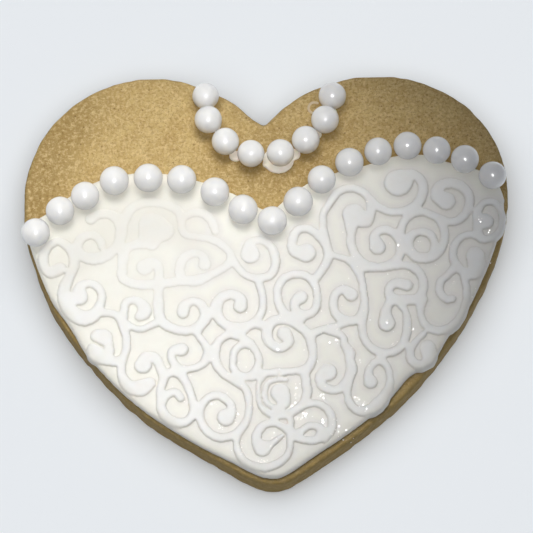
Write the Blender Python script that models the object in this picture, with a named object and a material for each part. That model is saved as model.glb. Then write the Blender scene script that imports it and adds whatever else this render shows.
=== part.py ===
"""Heart cookie dressed as a bodice: a heart-shaped biscuit, a layer of fondant with raised scrollwork
below a sweetheart neckline, a row of sugar pearls along the neckline and a necklace of pearls above it.

Frame: metres, +Z up, +X to the right and +Y towards the two lobes when seen from above. The biscuit lies
flat with its underside on z = 0 and the origin is near the middle of the heart.
Coordinates in the tables are millimetres, and mm() turns them into metres."""
import bmesh
import bpy
import numpy as np
from mathutils import Vector, noise

MM = 0.001

BISCUIT_THICK = 6.6
BISCUIT_EDGE = ((0.0, 0.55), (0.6, 0.0), (5.0, 0.05), (6.1, 0.3), (6.6, 1.0))  # height, inset
EDGE_WAVER = 0.003  # share of the width by which the edge swells and draws in
WAVER_PITCH = 0.22
LAYER_GAP = 0.3
FONDANT_THICK = 1.8
FONDANT_ROUND = 0.45
RELIEF_HEIGHT = 0.65
RELIEF_SINK = 0.6
PEARL_GAP = 0.2
PIPING_THICK = 0.4
PIPING_HALF_WIDTH = 1.25
PIPING_WOBBLE = 0.35
PIPING_WOBBLE_PITCH = 1.3
PIPING_DROP = 0.7
PIPING_STEP = 1.5
PEARL_SEGMENTS = 12
PEARL_RINGS = 8

FONDANT_BASE = BISCUIT_THICK + LAYER_GAP
FONDANT_TOP = FONDANT_BASE + FONDANT_THICK

# The biscuit's outline, counter-clockwise from the cleft round the left lobe and the tip.
CLEFT = (0.1, 33.7)
LEFT_SIDE = ((-2.2, 35.6), (-5.6, 38.9), (-9.4, 41.4), (-14.0, 43.6), (-19.0, 45.3), (-25.0, 45.8), (-31.0, 44.9),
             (-37.3, 42.4), (-42.5, 38.7), (-46.8, 33.6), (-50.0, 27.0), (-51.5, 19.5), (-51.2, 11.5),
             (-49.2, 3.6), (-45.4, -6.2), (-39.8, -15.0), (-32.5, -24.0), (-24.6, -31.5), (-15.3, -37.6),
             (-5.2, -43.9))
TIP = (-0.4, -45.9)
RIGHT_SIDE = ((3.4, -45.0), (10.0, -41.0), (19.3, -34.5), (27.7, -27.5), (35.0, -19.3), (41.4, -10.4),
              (46.3, -1.6), (49.9, 7.4), (51.6, 16.5), (51.0, 25.0), (47.9, 32.7), (42.3, 39.1), (34.8, 43.4),
              (27.5, 45.3), (20.1, 45.2), (14.5, 43.8), (9.0, 41.5), (4.6, 38.5), (1.3, 35.6))
OUTLINE_GROWTH = 0.3

# The fondant's lower edge, from the left end of the neckline round the tip to its right end.
FONDANT_EDGE = ((-50.9, 10.4), (-49.9, 6.2), (-48.6, 2.2), (-46.8, -2.5), (-44.9, -6.5), (-42.4, -10.1),
                (-40.4, -13.4), (-38.6, -16.8), (-35.8, -20.3), (-31.0, -25.6), (-25.7, -30.3), (-20.1, -34.3),
                (-14.3, -38.0), (-8.0, -41.4), (-3.6, -43.9), (-0.3, -44.9), (3.0, -44.2), (9.2, -40.1),
                (15.1, -36.2), (20.4, -32.3), (25.3, -27.8), (29.4, -23.2), (33.6, -21.3), (35.8, -17.9),
                (37.6, -14.9), (40.6, -11.4), (42.8, -7.4), (44.9, -3.2), (47.0, 1.4), (48.9, 6.6),
                (50.4, 11.6), (50.8, 16.0))
# The sweetheart neckline, from right to left.
NECKLINE = ((49.6, 19.6), (46.2, 22.2), (39.6, 24.2), (33.6, 26.2), (27.2, 25.8), (21.0, 23.8), (14.8, 22.3),
            (8.9, 20.0), (4.6, 16.9), (2.3, 14.6))
NECKLINE_LEFT = ((-0.6, 14.2), (-6.9, 18.0), (-14.0, 21.0), (-21.4, 22.9), (-28.6, 23.1), (-35.8, 21.5),
                 (-42.0, 18.0), (-46.8, 14.2), (-49.9, 12.4))

# Pearls of the neckline: x, y and radius.
NECKLINE_PEARLS = ((-48.7, 8.6, 3.05), (-43.6, 13.4, 3.05), (-38.3, 16.7, 3.05), (-32.1, 20.0, 3.12),
                   (-24.9, 20.5, 3.1), (-17.8, 20.0, 3.12), (-10.8, 17.0, 3.12), (-4.9, 12.9, 3.15),
                   (1.2, 10.2, 3.12), (6.8, 14.4, 3.18), (11.9, 19.4, 3.05), (17.9, 23.2, 3.1),
                   (24.1, 25.6, 3.0), (30.4, 26.8, 3.02), (36.6, 25.6, 3.0), (42.5, 23.4, 3.05),
                   (48.2, 19.6, 3.0))
# Pearls of the necklace: x, y, radius and height of the lowest point above the biscuit.
NECKLACE_PEARLS = ((-12.5, 40.15, 2.9, 0.12), (-12.0, 34.25, 2.98, 1.0), (-8.4, 29.2, 2.98, 0.82),
                   (-3.0, 26.3, 2.95, 0.82), (3.3, 26.3, 3.0, 0.82), (8.8, 29.2, 3.02, 0.82),
                   (13.05, 33.72, 3.05, 1.0), (14.8, 39.6, 3.0, 0.12))
PIPING_LEFT_END = (-12.4, 36.8)
PIPING_RIGHT_END = (13.9, 36.6)

# Raised scrolls: knots of x, y and half width along the middle of each ribbon of icing.
SCROLLS = (
    ("left_edge", ((-43.8, 1.5, 1.45), (-45.8, 0.5, 1.1), (-47.2, 2.3, 1.1), (-47.3, 4.6, 1.1),
                   (-46.3, 6.6, 1.0), (-44.3, 7.7, 0.9), (-42.3, 6.7, 1.0), (-41.0, 4.6, 1.0),
                   (-40.8, 2.2, 1.1), (-41.6, 0.0, 1.1), (-42.7, -2.4, 1.3), (-42.8, -5.0, 1.5),
                   (-41.7, -7.7, 1.6), (-39.3, -9.6, 1.7), (-36.9, -9.2, 1.5), (-35.4, -7.0, 1.0),
                   (-34.9, -4.6, 0.9), (-35.8, -2.7, 0.9), (-37.6, -1.9, 0.9), (-39.5, -2.6, 1.1),
                   (-39.6, -5.0, 1.8))),
    ("eye", ((-34.9, 6.3, 0.9), (-35.3, 7.8, 0.9), (-36.9, 9.0, 0.9), (-39.0, 8.5, 1.0), (-40.1, 6.6, 1.0),
             (-39.3, 4.5, 1.1), (-37.3, 3.6, 1.3), (-34.9, 3.9, 1.3), (-32.9, 5.1, 1.1), (-31.3, 7.2, 1.1),
             (-30.8, 10.0, 1.2), (-31.6, 12.4, 1.1), (-33.5, 13.7, 1.0), (-35.8, 13.6, 1.0),
             (-37.3, 12.6, 1.2))),
    ("crown", ((-30.9, 9.0, 1.2), (-30.4, 12.0, 1.2), (-28.9, 14.6, 1.1), (-26.5, 16.0, 1.0),
               (-23.5, 16.2, 1.0), (-20.6, 15.4, 1.0), (-18.4, 13.6, 0.9), (-18.1, 11.0, 0.8))),
    ("leaf", ((-30.5, 2.6, 1.1), (-30.3, 5.0, 1.1), (-28.6, 6.5, 1.0), (-26.0, 7.2, 1.4), (-24.5, 8.4, 2.5),
              (-24.5, 11.2, 2.6), (-22.8, 9.8, 2.7), (-21.2, 9.5, 1.7))),
    ("leaf_tip", ((-24.6, 9.0, 2.4), (-24.4, 6.8, 1.5))),
    ("drop", ((-10.9, 9.4, 0.9), (-11.6, 11.6, 0.9), (-13.2, 13.3, 0.9), (-15.6, 13.6, 0.9),
              (-17.6, 12.5, 0.8), (-18.1, 10.4, 0.8), (-17.2, 8.6, 0.7), (-14.8, 8.1, 0.7),
              (-12.2, 7.7, 0.8), (-9.9, 6.6, 0.9), (-8.1, 4.8, 0.8), (-7.6, 2.8, 0.9), (-9.2, 1.0, 0.9),
              (-11.9, -0.5, 0.9), (-15.0, -1.7, 1.2), (-18.4, -1.7, 1.0), (-21.0, -2.1, 1.0),
              (-24.5, -2.4, 1.1), (-28.2, -2.2, 1.0), (-30.5, -0.9, 1.0), (-30.7, 1.5, 1.0),
              (-30.4, 4.0, 1.0))),
    ("hook", ((-25.9, 1.5, 1.75), (-24.3, 2.7, 1.0), (-22.9, 1.3, 1.05), (-23.0, -2.0, 1.05),
              (-23.1, -6.0, 1.1), (-22.9, -9.5, 1.1), (-21.6, -11.5, 1.1), (-19.0, -12.7, 1.0),
              (-16.4, -12.8, 1.0), (-14.2, -11.4, 1.0), (-13.3, -9.2, 1.05), (-14.1, -7.0, 1.0),
              (-16.0, -6.3, 0.9), (-17.6, -7.3, 1.2), (-17.9, -8.8, 1.35))),
    ("six", ((-18.3, -1.3, 1.0), (-18.5, 1.4, 1.0), (-17.5, 3.6, 1.0), (-15.4, 4.5, 0.9), (-13.6, 3.8, 0.9),
             (-13.2, 1.9, 1.35))),
    ("snail", ((-7.6, 3.4, 0.9), (-6.4, 1.2, 0.8), (-4.5, -0.8, 0.8), (-2.0, -1.5, 0.9), (0.4, -1.0, 1.0),
               (1.6, 0.9, 0.95), (1.7, 3.4, 1.0), (0.8, 5.7, 0.9), (-1.3, 7.1, 0.85), (-3.6, 6.5, 1.0),
               (-3.6, 3.9, 2.05))),
    ("bud", ((8.3, 4.0, 2.1), (5.6, 4.4, 1.1), (5.4, 7.0, 1.05), (6.6, 9.2, 0.95), (8.8, 9.5, 0.9),
             (11.0, 7.8, 0.9), (12.6, 5.4, 1.0), (12.9, 2.9, 1.0), (11.9, 0.6, 0.95), (10.3, -1.6, 1.0))),
    ("bough", ((12.6, 5.4, 1.0), (12.2, 7.8, 0.95), (12.0, 10.5, 0.8), (12.2, 13.0, 0.8), (13.8, 15.5, 0.9),
               (15.4, 17.7, 0.9), (18.0, 18.6, 0.9), (20.6, 17.7, 0.9), (22.2, 15.6, 0.95),
               (22.3, 13.0, 1.0), (21.3, 10.7, 1.2), (18.6, 12.5, 2.5))),
    ("stem", ((18.3, 12.0, 2.0), (17.9, 8.5, 1.0), (17.8, 6.0, 1.0), (18.6, 3.4, 0.95), (20.6, 1.2, 1.0),
              (23.4, 0.4, 1.0), (26.2, 1.1, 1.0), (28.1, 3.1, 1.0), (28.2, 5.9, 1.0), (26.9, 8.2, 1.0),
              (24.6, 8.9, 1.0), (22.8, 7.6, 1.0), (23.4, 5.0, 1.75))),
    ("sun", ((22.3, 15.6, 0.9), (24.0, 14.0, 0.9), (26.4, 12.9, 0.9), (29.4, 13.1, 0.95), (32.2, 14.6, 1.1),
             (33.5, 17.3, 1.1), (33.2, 20.0, 1.1), (31.2, 21.6, 1.1), (28.3, 19.5, 3.05))),
    ("ear", ((38.3, 15.2, 2.1), (36.1, 16.4, 1.1), (37.0, 18.5, 1.2), (39.4, 19.3, 1.2), (41.9, 18.4, 1.2),
             (43.3, 16.2, 1.05), (43.1, 13.6, 1.0), (41.6, 11.3, 0.95), (39.3, 10.3, 0.9),
             (36.3, 11.4, 0.9), (33.7, 12.7, 0.9), (31.2, 12.4, 0.9), (29.4, 11.0, 0.9), (28.6, 9.2, 0.9),
             (28.3, 7.5, 0.9))),
    ("bell", ((36.6, 11.3, 0.9), (37.6, 8.9, 0.95), (37.6, 6.2, 0.95), (36.4, 3.6, 0.95), (34.2, 2.4, 1.2),
              (31.5, 2.6, 1.2), (30.0, 4.5, 1.1), (30.2, 6.9, 1.1), (32.2, 8.3, 0.9), (34.6, 7.7, 0.95),
              (35.5, 5.7, 0.8), (35.2, 4.1, 0.9))),
    ("right_ring", ((46.5, 10.4, 1.8), (44.8, 10.0, 1.0), (44.9, 12.6, 0.9), (46.5, 14.7, 0.8),
                    (48.7, 14.6, 0.8), (50.0, 12.6, 0.8), (50.1, 10.0, 0.8), (49.3, 7.8, 0.8),
                    (47.3, 6.4, 0.8), (45.2, 6.6, 1.0), (44.7, 9.0, 1.0))),
    ("comma", ((45.6, 6.2, 0.8), (43.6, 7.4, 0.8), (41.4, 7.0, 0.8), (39.8, 5.3, 0.85), (39.2, 3.0, 0.9),
               (39.7, 0.9, 1.0), (41.2, -0.9, 1.0), (43.4, -1.4, 1.4), (44.2, 0.2, 1.9), (44.0, 2.7, 2.0))),
    ("s_curve", ((39.7, 0.2, 0.9), (38.0, -1.6, 0.8), (36.3, -3.2, 0.85), (36.2, -5.6, 0.9),
                 (37.5, -7.0, 0.9), (38.7, -6.9, 0.85))),
    ("right_sweep", ((41.2, -0.9, 0.9), (41.6, -3.0, 0.8), (41.8, -5.8, 0.75), (41.4, -8.5, 0.85),
                     (40.2, -11.2, 0.9), (38.1, -13.3, 1.0), (35.4, -14.0, 0.95), (33.0, -12.9, 0.9),
                     (32.0, -10.7, 0.75), (31.9, -8.6, 0.9), (32.4, -6.9, 1.2))),
    ("crook", ((20.4, 0.3, 0.9), (23.4, 0.2, 0.9), (26.4, 0.5, 0.8), (29.0, 0.8, 0.8), (31.3, -0.1, 1.0),
               (32.6, -2.2, 0.95), (32.7, -4.6, 1.0), (31.4, -6.8, 1.1), (28.6, -7.0, 1.2),
               (26.2, -6.7, 1.2), (25.4, -4.6, 0.95), (26.9, -3.2, 1.1), (29.3, -3.7, 1.35))),
    ("lower_hook", ((25.8, -7.0, 1.0), (24.6, -9.4, 1.1), (24.7, -12.1, 1.85))),
    ("lower_ring", ((20.3, -7.0, 0.9), (20.1, -9.6, 0.95), (19.5, -12.4, 0.9), (19.9, -15.4, 0.9),
                    (21.7, -17.8, 0.95), (24.6, -18.7, 0.95), (27.3, -17.6, 0.95), (28.7, -15.0, 0.95),
                    (29.1, -12.0, 0.95), (28.8, -9.6, 0.7), (27.8, -8.0, 0.9))),
    ("trunk", ((12.9, 3.8, 0.7), (14.8, 3.0, 0.65), (16.6, 2.5, 0.75), (18.6, 0.9, 1.1), (19.7, -2.0, 0.85),
               (20.1, -5.2, 0.85), (20.1, -8.2, 0.9), (18.9, -10.9, 1.0), (16.6, -11.4, 1.1),
               (14.4, -10.2, 1.0), (13.6, -7.8, 0.95), (14.2, -5.3, 0.95), (16.0, -4.3, 1.0),
               (17.5, -5.6, 1.5))),
    ("egg", ((6.9, -5.9, 1.5), (5.5, -7.2, 1.0), (6.0, -9.2, 1.0), (8.0, -9.9, 1.0), (9.8, -8.8, 0.9),
             (10.4, -6.0, 0.85), (9.9, -3.3, 0.85), (8.4, -1.3, 0.9), (5.9, -0.7, 0.9), (3.4, -1.6, 0.9),
             (2.1, -3.7, 0.9), (2.0, -6.3, 0.9), (2.9, -8.8, 1.0), (5.0, -10.7, 1.0), (7.0, -11.0, 0.8))),
    ("middle", ((3.2, -13.9, 1.6), (4.2, -15.9, 1.0), (2.2, -17.1, 1.05), (0.0, -15.7, 1.1),
                (-0.4, -13.2, 1.2), (0.8, -11.2, 1.2), (3.6, -10.9, 1.0), (6.4, -12.4, 1.0),
                (8.4, -14.4, 1.1), (9.0, -17.0, 1.0), (9.0, -19.6, 0.9), (7.7, -21.9, 1.1),
                (5.2, -22.2, 0.8), (2.0, -22.4, 0.9), (-1.2, -22.5, 0.9), (-4.0, -23.4, 0.9))),
    ("nautilus", ((-5.9, -7.7, 1.5), (-5.8, -6.0, 1.2), (-7.8, -4.9, 1.1), (-10.1, -5.9, 1.2),
                  (-11.0, -8.2, 1.3), (-10.2, -10.6, 1.1), (-8.2, -12.1, 1.1), (-5.5, -12.3, 1.0),
                  (-2.9, -11.2, 0.9), (-1.3, -8.9, 0.85), (-1.1, -6.0, 0.85), (-1.6, -3.4, 0.8),
                  (-2.3, -1.5, 0.8))),
    ("nautilus_arch", ((-12.3, -8.5, 0.6), (-13.0, -10.6, 0.9), (-14.9, -13.4, 0.8), (-13.6, -15.6, 0.8),
                       (-12.6, -18.0, 1.0))),
    ("yoke", ((-0.6, -12.2, 1.0), (-3.4, -11.8, 0.9), (-6.4, -13.6, 1.1), (-8.6, -14.0, 0.9),
              (-10.6, -15.4, 0.9), (-11.5, -18.0, 1.1), (-11.0, -20.6, 1.0), (-9.4, -22.7, 0.9),
              (-7.0, -24.3, 0.9), (-5.0, -26.0, 0.9), (-4.4, -29.0, 0.8), (-4.7, -32.0, 0.8),
              (-6.0, -34.4, 0.9), (-8.2, -36.0, 0.9), (-11.0, -36.3, 0.95), (-13.4, -34.7, 0.95),
              (-14.6, -32.2, 0.9), (-14.5, -29.7, 0.9), (-13.0, -27.7, 0.9), (-10.7, -27.2, 0.95),
              (-8.6, -28.7, 0.9), (-8.0, -30.6, 1.0), (-9.3, -32.0, 1.9))),
    ("ring", ((-7.6, -20.0, 0.8), (-7.3, -17.6, 0.8), (-5.4, -16.1, 0.8), (-3.3, -16.9, 0.8),
              (-2.2, -19.2, 0.85), (-2.6, -21.6, 0.9), (-4.4, -23.2, 0.9), (-6.6, -22.8, 0.9),
              (-7.7, -21.0, 0.8))),
    ("ring_arm", ((-7.4, -13.9, 1.0), (-5.7, -14.6, 0.9), (-3.8, -15.6, 0.7), (-3.3, -16.9, 0.7))),
    ("faint_box", ((-30.2, -8.2, 0.9), (-29.9, -6.4, 0.9), (-28.2, -5.8, 0.85), (-26.6, -6.6, 1.1),
                   (-25.9, -8.4, 1.5), (-27.0, -9.5, 1.1))),
    ("spine", ((-36.0, -8.6, 1.0), (-33.6, -8.6, 0.8), (-31.6, -9.3, 0.9), (-30.6, -11.3, 0.95),
               (-29.8, -14.0, 0.9), (-29.9, -17.0, 0.9), (-30.8, -19.6, 0.9), (-30.9, -22.2, 0.95),
               (-29.4, -24.8, 1.4), (-26.9, -25.3, 1.8), (-25.0, -24.2, 1.3))),
    ("spine_arm", ((-30.6, -11.3, 0.9), (-30.2, -8.2, 0.9))),
    ("left_arm", ((-30.4, -10.6, 0.8), (-28.4, -12.0, 0.7), (-26.4, -12.3, 0.75), (-24.2, -11.3, 0.8),
                  (-22.6, -10.6, 0.9))),
    ("left_bud", ((-35.9, -13.6, 1.5), (-34.5, -14.0, 1.8), (-33.6, -15.4, 1.0), (-33.4, -17.2, 1.1),
                  (-34.6, -18.3, 1.5), (-36.2, -17.6, 1.9), (-37.0, -16.3, 1.1))),
    ("left_bud_link", ((-34.2, -18.9, 1.3), (-31.8, -19.3, 1.0), (-30.6, -18.5, 0.8))),
    ("pip", ((-26.4, -20.3, 1.85), (-25.8, -18.3, 1.0), (-23.8, -18.7, 1.1), (-22.7, -20.9, 1.0),
             (-22.1, -23.2, 1.0), (-22.8, -25.6, 0.9), (-22.9, -28.0, 0.9))),
    ("curl", ((-18.3, -17.0, 1.5), (-20.3, -17.2, 0.9), (-20.3, -19.3, 0.9), (-18.9, -21.1, 0.9),
              (-16.4, -21.3, 0.8), (-13.9, -20.3, 0.9), (-12.7, -18.0, 1.1))),
    ("curl_tail", ((-21.6, -22.4, 0.9), (-20.0, -21.8, 1.0), (-18.3, -22.8, 1.0), (-16.9, -25.5, 0.9),
                   (-16.1, -28.4, 0.9), (-16.1, -31.0, 0.9), (-17.4, -32.8, 0.95), (-19.8, -32.9, 1.1),
                   (-21.9, -31.4, 1.1), (-22.7, -29.0, 1.0), (-21.6, -26.9, 0.95), (-19.6, -26.3, 0.85),
                   (-18.6, -27.6, 0.9))),
    ("disc", ((2.1, -26.9, 2.05), (2.9, -29.2, 1.2), (1.0, -30.1, 0.6), (-0.8, -28.9, 0.6),
              (-1.1, -26.6, 0.6), (-0.4, -24.7, 0.6), (1.4, -24.0, 0.55), (3.4, -24.1, 0.5))),
    ("disc_ring", ((7.2, -21.8, 1.0), (7.5, -24.4, 1.0), (7.7, -27.0, 1.0), (6.9, -29.3, 0.9),
                   (5.0, -30.9, 0.9), (2.6, -31.7, 0.9), (0.0, -31.5, 0.85), (-2.0, -29.9, 0.6),
                   (-2.5, -27.4, 0.55), (-2.4, -24.8, 0.55), (-1.2, -23.0, 0.7))),
    ("tip_inner", ((4.0, -35.4, 1.0), (2.5, -34.2, 0.8), (0.6, -33.4, 0.75), (-1.5, -33.8, 0.9),
                   (-2.9, -35.6, 1.0), (-3.0, -37.6, 1.1), (-1.9, -38.8, 1.8))),
    ("tip_arm", ((-1.2, -38.4, 1.2), (0.3, -37.7, 0.7), (2.3, -36.2, 0.5))),
    ("tip_outer", ((-6.4, -34.6, 0.9), (-7.2, -37.0, 0.7), (-7.0, -39.3, 0.8), (-5.8, -41.4, 0.9),
                   (-3.9, -42.6, 0.95), (-1.4, -43.0, 0.95), (1.2, -42.2, 0.9), (3.2, -40.6, 0.75),
                   (3.9, -38.4, 0.7), (3.9, -36.2, 0.8), (4.6, -35.6, 0.9))),
    ("wave", ((4.6, -36.4, 1.0), (6.2, -35.3, 0.8), (8.0, -34.1, 0.8), (9.8, -34.5, 0.9),
              (10.6, -35.9, 1.2), (9.2, -37.3, 0.9), (6.8, -37.2, 0.85), (4.9, -36.6, 0.9))),
    ("wave_outer", ((5.0, -31.0, 0.8), (7.2, -29.6, 0.8), (9.6, -29.3, 0.8), (11.8, -30.6, 0.9),
                    (12.7, -32.8, 0.9), (12.4, -35.2, 0.95), (10.8, -36.9, 1.1))),
    ("wave_link", ((3.6, -31.9, 0.7), (4.2, -33.2, 0.7), (3.8, -35.0, 0.8))),
    ("twig", ((9.4, -13.9, 0.9), (11.6, -13.0, 0.8), (14.0, -12.6, 0.8), (16.2, -11.8, 0.8))),
    ("twig_knot", ((11.6, -13.3, 0.7), (14.0, -13.9, 0.9), (15.6, -15.0, 0.75), (15.7, -16.6, 0.9),
                   (16.8, -18.2, 1.2), (16.8, -20.0, 0.95), (17.1, -22.0, 1.2), (16.3, -24.6, 1.0),
                   (16.0, -27.2, 0.8), (16.5, -29.6, 0.85), (18.3, -31.2, 1.0), (20.8, -31.0, 1.3),
                   (23.0, -29.2, 1.4), (24.6, -26.6, 1.0), (25.0, -23.8, 0.75), (24.3, -21.2, 0.8),
                   (22.6, -20.3, 0.8), (20.9, -21.8, 0.8), (20.5, -23.6, 1.0), (20.9, -24.9, 1.5))),
    ("twig_link", ((23.4, -18.9, 1.0), (23.2, -20.4, 1.0))),
    ("sprout", ((12.1, -22.6, 1.95), (10.4, -23.6, 1.1), (10.9, -25.6, 1.05), (12.9, -26.5, 0.95),
                (14.8, -26.1, 0.95), (15.9, -24.4, 0.9))),
    ("petal", ((32.3, -14.6, 0.8), (30.7, -16.1, 0.7), (29.4, -18.2, 0.9), (29.6, -20.4, 1.0),
               (31.3, -21.5, 1.1), (33.4, -20.6, 1.2))),
    ("petal_leaf", ((33.1, -17.6, 1.7), (33.5, -19.4, 1.7))),
)
STATIONS_PER_KNOT = 6
OUTLINE_STEPS = 8
RELIEF_GRID = 0.2
RELIEF_MARGIN = 4.0
RELIEF_TOLERANCE = 0.08
SMALLEST_LOOP = 0.15
OUTLINE_STEP = 1.6
WELD_DISTANCE = 0.000002

COLOURS = {
    "biscuit": (0.52, 0.30, 0.11, 1.0),
    "fondant": (0.86, 0.84, 0.79, 1.0),
    "pearl": (0.80, 0.79, 0.77, 1.0),
    "piping": (0.84, 0.78, 0.66, 1.0),
}
ROUGHNESS = {"biscuit": 0.85, "fondant": 0.55, "pearl": 0.22, "piping": 0.5}
METALLIC = {"biscuit": 0.0, "fondant": 0.0, "pearl": 0.15, "piping": 0.0}


def mm(*values):
    """Millimetres to metres."""
    return tuple(value * MM for value in values)


def clear_scene():
    for item in list(bpy.data.objects):
        bpy.data.objects.remove(item)


def new_collection(name):
    collection = bpy.data.collections.new(name)
    bpy.context.scene.collection.children.link(collection)
    return collection


def material(name):
    result = bpy.data.materials.new(name)
    result.use_nodes = True
    shader = result.node_tree.nodes["Principled BSDF"]
    shader.inputs["Base Color"].default_value = COLOURS[name]
    shader.inputs["Roughness"].default_value = ROUGHNESS[name]
    shader.inputs["Metallic"].default_value = METALLIC[name]
    return result


def smooth_path(knots, steps, closed=False):
    """Points of a Catmull-Rom curve through the knots, with any further values carried along."""
    knots = np.array(knots, float)
    if closed:
        padded = np.vstack((knots[-1], knots, knots[:2]))
    else:
        padded = np.vstack((2 * knots[0] - knots[1], knots, 2 * knots[-1] - knots[-2]))
    t = np.linspace(0.0, 1.0, steps, endpoint=False)[:, None]
    stretches = []
    for before, start, end, after in zip(padded, padded[1:], padded[2:], padded[3:]):
        leave = (end - before) / 2
        arrive = (after - start) / 2
        stretches.append((2 * t**3 - 3 * t**2 + 1) * start + (t**3 - 2 * t**2 + t) * leave
                         + (3 * t**2 - 2 * t**3) * end + (t**3 - t**2) * arrive)
    if not closed:
        stretches.append(knots[-1:])
    return np.vstack(stretches)


def even_spacing(points, step, closed=True):
    """The same path with points at an even distance near the step."""
    path = np.vstack((points, points[:1])) if closed else points
    run = np.concatenate(([0.0], np.cumsum(np.linalg.norm(np.diff(path, axis=0), axis=1))))
    count = max(3, round(run[-1] / step))
    places = np.linspace(0.0, run[-1], count, endpoint=not closed)
    return np.column_stack([np.interp(places, run, path[:, axis]) for axis in range(path.shape[1])])


def thinned(points, tolerance):
    """The closed path without the points that lie within the tolerance of a straight run."""
    kept = [0]
    here = 0
    for ahead in range(2, len(points)):
        chord = points[ahead] - points[here]
        length = np.linalg.norm(chord)
        between = points[here + 1:ahead] - points[here]
        off = np.abs(between[:, 0] * chord[1] - between[:, 1] * chord[0]) / max(length, 1e-9)
        if off.max() > tolerance:
            here = ahead - 1
            kept.append(here)
    return points[kept]


def signed_area(points):
    x, y = points[:, 0], points[:, 1]
    return 0.5 * float(np.sum(x * np.roll(y, -1) - y * np.roll(x, -1)))


def inset(points, distance):
    """A counter-clockwise outline moved inwards by the distance."""
    ahead = np.roll(points, -1, axis=0) - points
    ahead /= np.linalg.norm(ahead, axis=1)[:, None]
    behind = np.roll(ahead, 1, axis=0)
    inward = np.column_stack((-ahead[:, 1] - behind[:, 1], ahead[:, 0] + behind[:, 0]))
    inward /= np.linalg.norm(inward, axis=1)[:, None]
    return points + inward * distance


def heart_outline():
    left = smooth_path((CLEFT,) + LEFT_SIDE + (TIP,), OUTLINE_STEPS)
    right = smooth_path((TIP,) + RIGHT_SIDE + (CLEFT,), OUTLINE_STEPS)
    left = even_spacing(left, OUTLINE_STEP, closed=False)
    right = even_spacing(right, OUTLINE_STEP, closed=False)
    return inset(np.vstack((left[:-1], right[:-1])), -OUTLINE_GROWTH)


def fondant_outline():
    edge = smooth_path(FONDANT_EDGE, OUTLINE_STEPS)
    neck_right = smooth_path(NECKLINE, OUTLINE_STEPS)
    neck_left = smooth_path(NECKLINE_LEFT, OUTLINE_STEPS)
    return even_spacing(np.vstack((edge, neck_right, neck_left)), OUTLINE_STEP)


def relief_stations():
    """Every station of every scroll: x, y and half width."""
    return np.vstack([smooth_path(knots, STATIONS_PER_KNOT) for _, knots in SCROLLS])


def relief_loops():
    """The scrolls' joint outline: the closed lines where the distance to the ribbons is nought."""
    stations = relief_stations()
    low = stations[:, :2].min(axis=0) - RELIEF_MARGIN
    high = stations[:, :2].max(axis=0) + RELIEF_MARGIN
    xs = np.arange(low[0], high[0], RELIEF_GRID)
    ys = np.arange(low[1], high[1], RELIEF_GRID)
    field = np.full((len(xs), len(ys)), np.inf)
    for x, y, half in stations:
        away = np.hypot(xs[:, None] - x, ys[None, :] - y) - half
        np.minimum(field, away, out=field)
    return contour(field, xs, ys)


def contour(field, xs, ys):
    """Closed lines at level nought, with the raised side on the left, by marching squares."""
    links = {}
    places = {}

    def crossing(i, j, k, m):
        key = (min((i, j), (k, m)), max((i, j), (k, m)))
        if key not in places:
            share = field[i, j] / (field[i, j] - field[k, m])
            places[key] = (xs[i] + (xs[k] - xs[i]) * share, ys[j] + (ys[m] - ys[j]) * share)
        return key

    inside = field < 0.0
    mixed = inside[:-1, :-1].astype(int) + inside[1:, :-1] + inside[:-1, 1:] + inside[1:, 1:]
    for i, j in np.argwhere((mixed > 0) & (mixed < 4)):
        corners = ((i, j), (i + 1, j), (i + 1, j + 1), (i, j + 1))
        entries = []
        exits = []
        for start, end in zip(corners, corners[1:] + corners[:1]):
            if inside[start] and not inside[end]:
                exits.append(crossing(*start, *end))
            elif inside[end] and not inside[start]:
                entries.append(crossing(*start, *end))
        if len(exits) == 2 and crossing(*corners[0], *corners[1]) not in entries:
            entries.reverse()
        for leave, enter in zip(exits, entries):
            links[leave] = enter
    loops = []
    while links:
        first, here = links.popitem()
        loop = [places[first]]
        while here != first:
            loop.append(places[here])
            here = links.pop(here)
        loops.append(np.array(loop))
    return loops


def flat_outline(name, loops, base, top, rounding=0.0):
    """A 2D curve of closed loops, filled and given thickness, and turned into a mesh object."""
    curve = bpy.data.curves.new(name, "CURVE")
    curve.dimensions = "2D"
    curve.fill_mode = "BOTH"
    curve.extrude = (top - base) / 2 * MM - rounding * MM
    curve.bevel_depth = rounding * MM
    curve.bevel_resolution = 0
    curve.offset = -rounding * MM
    for loop in loops:
        spline = curve.splines.new("POLY")
        spline.points.add(len(loop) - 1)
        for point, (x, y) in zip(spline.points, loop):
            point.co = (x * MM, y * MM, 0.0, 1.0)
        spline.use_cyclic_u = True
    outline = bpy.data.objects.new(name + "_outline", curve)
    outline.location.z = (base + top) / 2 * MM
    bpy.context.scene.collection.objects.link(outline)
    graph = bpy.context.evaluated_depsgraph_get()
    graph.update()
    mesh = bpy.data.meshes.new_from_object(outline.evaluated_get(graph))
    mesh.transform(outline.matrix_world)
    bpy.data.objects.remove(outline)
    weld(mesh)
    return mesh


def weld(mesh):
    form = bmesh.new()
    form.from_mesh(mesh)
    bmesh.ops.remove_doubles(form, verts=form.verts, dist=WELD_DISTANCE)
    bmesh.ops.recalc_face_normals(form, faces=form.faces)
    form.to_mesh(mesh)
    form.free()


def add_part(name, mesh, kind, collection, origin=(0.0, 0.0, 0.0)):
    mesh.name = name
    part = bpy.data.objects.new(name, mesh)
    part.location = mm(*origin)
    mesh.materials.clear()
    mesh.materials.append(bpy.data.materials.get(kind) or material(kind))
    collection.objects.link(part)
    return part


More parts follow.
